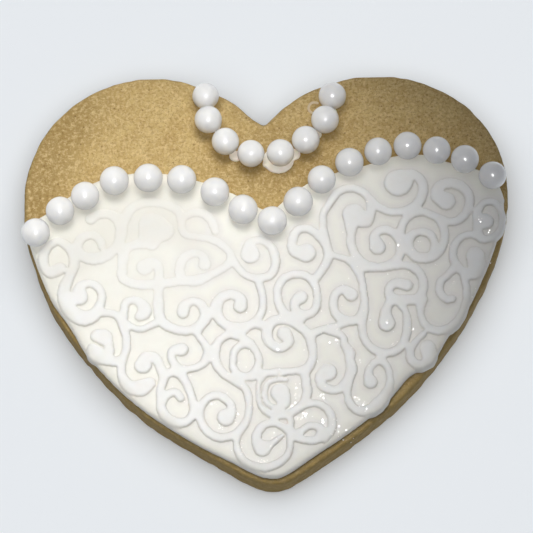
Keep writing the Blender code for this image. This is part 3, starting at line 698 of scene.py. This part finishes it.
# Where a ribbon's own colour starts and is full, and its least share.
RIBBON_TINT = (-0.06, 0.2)
RIBBON_TINT_LEAST = 0.3
# The sheet close to ribbons is a little darker, but not at the far left.
NOOK_REACH = (1.5, 0.3)
NOOK_SIDE = (-30.0, -8.0)
# Painted shade below the pearls at the left: its strength, gaps to a pearl, and places across.
SHADE_BELOW_PEARLS = 0.4
SHADE_BELOW_PEARLS_GAPS = (13.0, 7.5)
SHADE_BELOW_PEARLS_SIDE = (-8.0, -20.0)
# Painted shade along the lower rim: its strength, depths inside the rim, and places towards the tip.
RIM_SHADE = 0.7
RIM_SHADE_DEPTHS = (2.4, 0.2)
RIM_SHADE_FRONT = (20.0, -10.0)
# Side wall of the fondant: height and outward shift.
FONDANT_WALL = ((7.75, 0.04), (7.4, 0.05), (7.0, 0.0), (6.8, -0.1))
FONDANT_FOOT_INSET = 0.3


def relief_strength(x, y):
    """The impression is shallower at the upper left, and full elsewhere."""
    away = math.hypot((x - SHALLOW_MIDDLE[0]) / SHALLOW_STRETCH, y - SHALLOW_MIDDLE[1])
    return SHALLOW_STRENGTH + (1.0 - SHALLOW_STRENGTH) * soft_step(*SHALLOW_RANGE, away)


def make_fondant():
    xs, ys, heights = heights_from_above("icing", FONDANT_GRID)
    rim = evenly(outlines(heights > 0.0, xs, ys, passes=3, smallest=100.0)[0], FONDANT_RIM_STEP)
    ribbons = outlines(heights > RIBBON_LEVEL, xs, ys, passes=1, smallest=0.8)
    border = Border([rim])
    scrolls = Border(ribbons)
    sieve = Sieve(0.3)
    sieve.add_rings(rim, FONDANT_RINGS, FONDANT_RING_CLEARANCE)
    lines = [evenly(loop, RIBBON_STEP) for loop in ribbons]
    for ring in RIBBON_RINGS:
        for line in lines:
            for (x, y), (nx, ny) in zip(line, inward(line)):
                px, py = x + nx * ring, y + ny * ring
                astray = abs(scrolls.depth(px, py) - ring)
                if border.depth(px, py) > RIBBON_INSET and astray < RIBBON_ASTRAY:
                    sieve.add(px, py, RIBBON_CLEARANCE)
    for x, y in staggered(xs, ys, FONDANT_FACE_STEP):
        if border.depth(x, y) > FONDANT_FACE_INSET:
            sieve.add(x, y, FONDANT_FACE_CLEARANCE)

    def lifted(x, y, inside, strength):
        """Height of a ribbon above the sheet, or of the dint at its foot."""
        if inside > 0.0:
            share = RIBBON_CLIFF + (1.0 - RIBBON_CLIFF) * rounded(inside / RIBBON_ROUND)
            return strength * (RIBBON_HEIGHT * share + waves(x, y, RIBBON_WAVES))
        place, width, depth = DINT
        return -strength * depth * math.exp(-(((inside + place) / width) ** 2))

    def groove_shade(x, y, inside, strength):
        # Painted shade, stronger where the ribbon's front side faces away from the light at the back.
        under = soft_step(*GROOVE_SIDE, scrolls.inner_side(x, y) @ TOWARDS_BACK)
        dark = 0.0
        for place, width, least, gain in GROOVE_SHADES:
            dark += (least + gain * under) * math.exp(-(((inside + place) / width) ** 2))
        return dark * strength * (GROOVE_EVEN + GROOVE_WAVER * wander(x, y, 2.5, 53.0))

    def shaded(x, y, edge):
        below_pearls = soft_step(*SHADE_BELOW_PEARLS_GAPS, pearl_gap(x, y)) * soft_step(*SHADE_BELOW_PEARLS_SIDE, x)
        at_rim = soft_step(*RIM_SHADE_DEPTHS, edge) * soft_step(*RIM_SHADE_FRONT, y)
        return max(SHADE_BELOW_PEARLS * below_pearls, RIM_SHADE * at_rim)

    def top(x, y):
        edge = max(0.0, border.depth(x, y))
        inside = scrolls.depth(x, y)
        strength = relief_strength(x, y)
        height = FONDANT_TOP - SHEET_SINK + waves(x, y, SHEET_WAVES) + lifted(x, y, inside, strength)
        height -= sum(drop * (1.0 - rounded(edge / width)) for width, drop in FONDANT_ROUNDS)
        near = GROOVE_REACH[0] < inside < GROOVE_REACH[1]
        ribbon_share = RIBBON_TINT_LEAST + (1.0 - RIBBON_TINT_LEAST) * strength
        values = {
            "groove_shade": groove_shade(x, y, inside, strength) * soft_step(*GROOVE_RIM, edge) if near else 0.0,
            "ribbon": soft_step(*RIBBON_TINT, inside) * ribbon_share,
            "nook": soft_step(*NOOK_REACH, -inside) * soft_step(*NOOK_SIDE, x),
            "shade": shaded(x, y, edge),
        }
        return height, values

    piece = slab("fondant", rim, sieve, top, FONDANT_WALL, (FONDANT_FOOT, -FONDANT_FOOT_INSET))
    finish_with(piece, fondant_material())
    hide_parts("icing")
    return piece


# The sugar pearls


FULL_TURN = 6.28
PEARL_SIDES = (40, 24)
LEAST_SQUASH = 0.985
# A pearl's mean radius as a share of its solid's, and its unevenness: share of the radius, and how fine.
PEARL_SHARE = 0.994
PEARL_UNEVEN = ((0.01, 1.8), (0.003, 5.0))


def make_pearls():
    """One finer, slightly uneven ball for each pearl."""
    material = pearl_material()
    for node in sorted(PEARL_NODES):
        low, high = (Vector(corner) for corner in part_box(node))
        centre = (low + high) / 2
        radius = (high.z - low.z) / 2
        form = bmesh.new()
        bmesh.ops.create_uvsphere(form, u_segments=PEARL_SIDES[0], v_segments=PEARL_SIDES[1], radius=1.0)
        turn = Euler([random.uniform(0.0, FULL_TURN) for _ in range(3)]).to_matrix()
        form.transform(turn.to_4x4())
        seed = Vector([random.uniform(0.0, 90.0) for _ in range(3)])
        squash = Vector([random.uniform(LEAST_SQUASH, 1.0) for _ in range(3)])
        for vertex in form.verts:
            uneven = sum(share * noise.noise(vertex.co * count + seed) for share, count in PEARL_UNEVEN)
            scale = (PEARL_SHARE + uneven) * radius
            vertex.co = Vector([c * s * scale for c, s in zip(vertex.co, squash)]) + centre
        piece = put(node + "_sugar", mesh_of(form, node + "_sugar"))
        piece.data.shade_smooth()
        finish_with(piece, material)
        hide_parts(node)


# The icing that holds the necklace


# Dabs of the necklace's icing: x, y, half width, half length and height.
NECKLACE_DABS = (
    (-12.4, 40.1, 1.7, 1.6, 0.5), (-11.4, 37.7, 1.1, 1.3, 0.45), (-11.2, 34.8, 2.0, 1.8, 0.6),
    (-9.6, 32.0, 1.3, 1.6, 0.6), (-8.3, 29.6, 2.1, 1.8, 0.7), (-6.3, 27.3, 1.4, 1.3, 0.6),
    (-2.9, 26.9, 2.1, 1.7, 0.7), (0.5, 25.3, 1.1, 0.9, 0.6), (2.9, 26.2, 3.4, 3.2, 0.7),
    (6.2, 27.4, 1.5, 1.4, 0.6), (8.8, 29.7, 2.0, 1.7, 0.7), (11.2, 31.9, 1.2, 1.1, 0.6),
    (12.9, 34.3, 1.9, 1.7, 0.7), (14.4, 36.9, 1.5, 1.4, 0.5), (14.6, 39.6, 1.8, 1.6, 0.5),
)
# The smear of icing beside the last pearls: angles are in degrees.
SMEAR_MIDDLE = (11.0, 38.2)
SMEAR_RADIUS = 1.3
SMEAR_ANGLES = range(60, 300, 12)
SMEAR_HALF_WIDTH = 0.36
SMEAR_HEIGHT = 0.24
SMEAR_THINNESS = 0.75
SMEAR_FADE = (SMEAR_RADIUS + 0.8, SMEAR_RADIUS + 0.4)
DAB_VOXEL = 0.16
DAB_SMOOTHING = 0.6
DAB_SMOOTH_PASSES = 6


def make_necklace_icing():
    form = bmesh.new()
    dabs = list(NECKLACE_DABS)
    for angle in SMEAR_ANGLES:
        x = SMEAR_MIDDLE[0] + SMEAR_RADIUS * math.cos(math.radians(angle))
        y = SMEAR_MIDDLE[1] + SMEAR_RADIUS * math.sin(math.radians(angle))
        dabs.append((x, y, SMEAR_HALF_WIDTH, SMEAR_HALF_WIDTH, SMEAR_HEIGHT))
    for x, y, half_width, half_length, height in dabs:
        place = Matrix.Translation(Vector((x, y, BISCUIT_TOP)) * MM)
        size = Matrix.Diagonal(Vector((half_width, half_length, height)) * MM).to_4x4()
        bmesh.ops.create_icosphere(form, subdivisions=3, radius=1.0, matrix=place @ size)
    piece = put("necklace_dabs", mesh_of(form, "necklace_dabs"))
    remesh = piece.modifiers.new("join", "REMESH")
    remesh.mode = "VOXEL"
    remesh.voxel_size = DAB_VOXEL * MM
    smooth = piece.modifiers.new("soften", "SMOOTH")
    smooth.factor = DAB_SMOOTHING
    smooth.iterations = DAB_SMOOTH_PASSES
    graph = bpy.context.evaluated_depsgraph_get()
    joined = bpy.data.meshes.new_from_object(piece.evaluated_get(graph))
    piece.modifiers.clear()
    piece.data = joined
    joined.shade_smooth()
    thin = joined.attributes.new("thin", "FLOAT", "POINT")
    for vertex, value in zip(joined.vertices, thin.data):
        reach = math.hypot(vertex.co.x / MM - SMEAR_MIDDLE[0], vertex.co.y / MM - SMEAR_MIDDLE[1])
        value.value = SMEAR_THINNESS * soft_step(*SMEAR_FADE, reach)
    finish_with(piece, piping_material())
    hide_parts("necklace_icing")


# Edible glitter


# Patches of glitter: x, y, spread in x and in y, and the number of flakes.
GLITTER = (
    (5.3, -27.0, 1.2, 3.0, 14), (6.8, -32.0, 1.8, 1.0, 14), (11.0, -33.0, 0.8, 0.6, 4),
    (10.2, -27.5, 1.2, 1.4, 7), (19.0, -29.5, 1.5, 1.4, 12), (-7.0, -31.5, 0.7, 2.4, 9),
    (-12.0, -29.0, 1.2, 0.7, 6), (-10.0, -34.0, 1.6, 0.6, 7), (-6.0, -38.0, 0.6, 2.0, 6),
    (-2.0, -41.5, 2.2, 0.6, 9), (14.5, -34.5, 2.6, 3.4, 12), (17.5, -36.2, 2.5, 0.8, 3),
    (0.0, -37.0, 2.0, 2.5, 7), (1.7, -17.6, 0.5, 0.5, 2), (2.6, -10.2, 0.5, 0.5, 2),
    (10.0, -20.0, 0.6, 0.6, 2), (14.4, -16.0, 0.7, 0.7, 3), (14.0, -12.8, 0.7, 0.6, 3),
    (18.7, -20.7, 0.7, 0.7, 3), (25.0, -12.0, 0.8, 0.8, 4), (30.0, -13.5, 0.7, 0.7, 4),
    (26.0, -16.5, 0.7, 0.7, 3), (39.4, -3.1, 0.6, 0.6, 3), (45.5, 10.3, 0.8, 0.8, 5),
    (47.2, 8.2, 0.7, 0.7, 4), (32.6, 6.4, 0.7, 0.7, 3), (38.5, 5.0, 0.5, 0.5, 2),
    (35.3, 0.8, 0.5, 0.5, 2), (21.1, 15.3, 0.5, 0.5, 2), (8.0, -14.0, 22.0, 16.0, 34),
    (24.0, 2.0, 18.0, 13.0, 22), (-14.0, -26.0, 12.0, 7.0, 10),
)
FLAKE_RADIUS = (0.08, 0.17)
FLAKE_THICKNESS = 0.03
# Flakes lean towards the front, and this much either way.
FLAKE_LEAN = -0.5
FLAKE_LEAN_SPREAD = 0.2
ABOVE_ALL = 40.0


def make_glitter(surfaces):
    """Tiny flat hexagons scattered where the photographed cookie sparkles."""
    trees = [BVHTree.FromObject(surface, bpy.context.evaluated_depsgraph_get()) for surface in surfaces]
    form = bmesh.new()
    for x, y, spread_x, spread_y, count in GLITTER:
        for _ in range(count):
            px = x + random.gauss(0.0, spread_x / 2)
            py = y + random.gauss(0.0, spread_y / 2)
            hits = [tree.ray_cast(Vector((px, py, ABOVE_ALL)) * MM, DOWN) for tree in trees]
            hits = [hit for hit in hits if hit[0] is not None]
            if not hits:
                continue
            place, normal = max(hits, key=lambda hit: hit[0].z)[:2]
            radius = random.uniform(*FLAKE_RADIUS) * MM
            lean = (random.gauss(0.0, FLAKE_LEAN_SPREAD), random.gauss(FLAKE_LEAN, FLAKE_LEAN_SPREAD), 1.0)
            up = (normal + Vector(lean).normalized()).normalized()
            turn = up.to_track_quat("Z", "Y").to_matrix().to_4x4()
            shift = Matrix.Translation(place + up * FLAKE_THICKNESS * MM)
            spin = Matrix.Rotation(random.uniform(0.0, 1.0), 4, "Z")
            bmesh.ops.create_cone(form, cap_ends=True, segments=6, radius1=radius, radius2=radius,
                                  depth=FLAKE_THICKNESS * MM, matrix=shift @ turn @ spin)
    piece = put("edible_glitter", mesh_of(form, "edible_glitter"))
    finish_with(piece, glitter_material())


# Floor, light and camera


def make_floor():
    form = bmesh.new()
    bmesh.ops.create_grid(form, x_segments=1, y_segments=1, size=FLOOR_HALF_SIZE)
    floor = bpy.data.objects.new("floor", mesh_of(form, "floor"))
    bpy.context.scene.collection.objects.link(floor)
    floor.data.materials.append(Nodes("floor_pale", FLOOR_SURFACE).material)
    return floor


def disc_light(name, place, target, size, power, colour, spread, in_reflections, receivers, blockers=None,
               only_reflections=False):
    """A round soft lamp that lights the receivers alone, past all but the blockers, and isn't seen itself."""
    light = bpy.data.lights.new(name, "AREA")
    light.shape = "DISK"
    light.size = size
    light.energy = power
    light.color = colour
    light.spread = math.radians(spread)
    lamp = bpy.data.objects.new(name, light)
    lamp.location = Vector(place)
    lamp.rotation_euler = (Vector(target) - Vector(place)).to_track_quat("-Z", "Y").to_euler()
    lamp.visible_camera = False
    lamp.visible_glossy = in_reflections
    lamp.visible_diffuse = not only_reflections
    lamp.light_linking.receiver_collection = receivers
    if blockers is not None:
        lamp.light_linking.blocker_collection = blockers
    bpy.context.scene.collection.objects.link(lamp)


def gathered(name, pieces):
    group = bpy.data.collections.new(name)
    for piece in pieces:
        group.objects.link(piece)
    return group


def make_lights(floor):
    """A soft lamp close to the left side, a small one by the camera, and a wash.

    The wash lights the floor and the others the cookie, so that the floor keeps its even tone.
    Most of the soft lamp's light goes past the pearls, whose shadows are faint in the photograph."""
    pieces = [piece for piece in bpy.context.scene.objects if piece.type == "MESH" and piece is not floor]
    cookie_parts = gathered("lit_by_lamps", pieces)
    layers = gathered("shade_soft_key", [piece for piece in pieces if "pearl" not in piece.name])
    ground = gathered("lit_by_wash", [floor])
    disc_light("key", receivers=cookie_parts, **KEY)
    disc_light("soft_key", receivers=cookie_parts, blockers=layers, **SOFT_KEY)
    disc_light("fill", receivers=cookie_parts, **FILL)
    disc_light("sparkle", receivers=cookie_parts, only_reflections=True, **SPARK)
    disc_light("wash", receivers=ground, **WASH)


def make_sky():
    """A dim sky, brighter towards the back and overhead."""
    world = bpy.data.worlds.new("studio")
    world.use_nodes = True
    tree = world.node_tree
    direction = tree.nodes.new("ShaderNodeTexCoord")
    split = tree.nodes.new("ShaderNodeSeparateXYZ")
    tree.links.new(direction.outputs["Generated"], split.inputs["Vector"])
    backward = tree.nodes.new("ShaderNodeMapRange")
    backward.inputs["From Min"].default_value = -1.0
    tree.links.new(split.outputs["Y"], backward.inputs["Value"])
    low = mixed(tree, backward.outputs["Result"], SKY_FRONT, SKY_BACK)
    sky = mixed(tree, split.outputs["Z"], low, SKY_ZENITH)
    tree.links.new(sky, tree.nodes["Background"].inputs["Color"])
    bpy.context.scene.world = world
    bpy.context.scene.view_settings.view_transform = "Standard"


def make_camera():
    azimuth, elevation = math.radians(CAMERA_AZIMUTH), math.radians(CAMERA_ELEVATION)
    back = Vector((math.sin(azimuth) * math.cos(elevation), -math.cos(azimuth) * math.cos(elevation),
                   math.sin(elevation)))
    camera = bpy.data.cameras.new("camera")
    camera.sensor_width = SENSOR_WIDTH
    camera.lens = PIXELS_PER_MM * CAMERA_DISTANCE * SENSOR_WIDTH / IMAGE_SIZE
    camera.shift_x = -(TARGET_PIXEL[0] - IMAGE_SIZE / 2) / IMAGE_SIZE
    camera.shift_y = (TARGET_PIXEL[1] - IMAGE_SIZE / 2) / IMAGE_SIZE
    camera.clip_start = CAMERA_NEAREST * MM
    eye = bpy.data.objects.new("camera", camera)
    eye.location = (Vector(CAMERA_TARGET) + back * CAMERA_DISTANCE) * MM
    eye.rotation_euler = (math.pi / 2 - elevation, 0.0, azimuth)
    bpy.context.scene.collection.objects.link(eye)
    bpy.context.scene.camera = eye


biscuit = make_biscuit()
fondant = make_fondant()
make_pearls()
make_necklace_icing()
make_glitter((biscuit, fondant))
make_lights(make_floor())
make_sky()
make_camera()
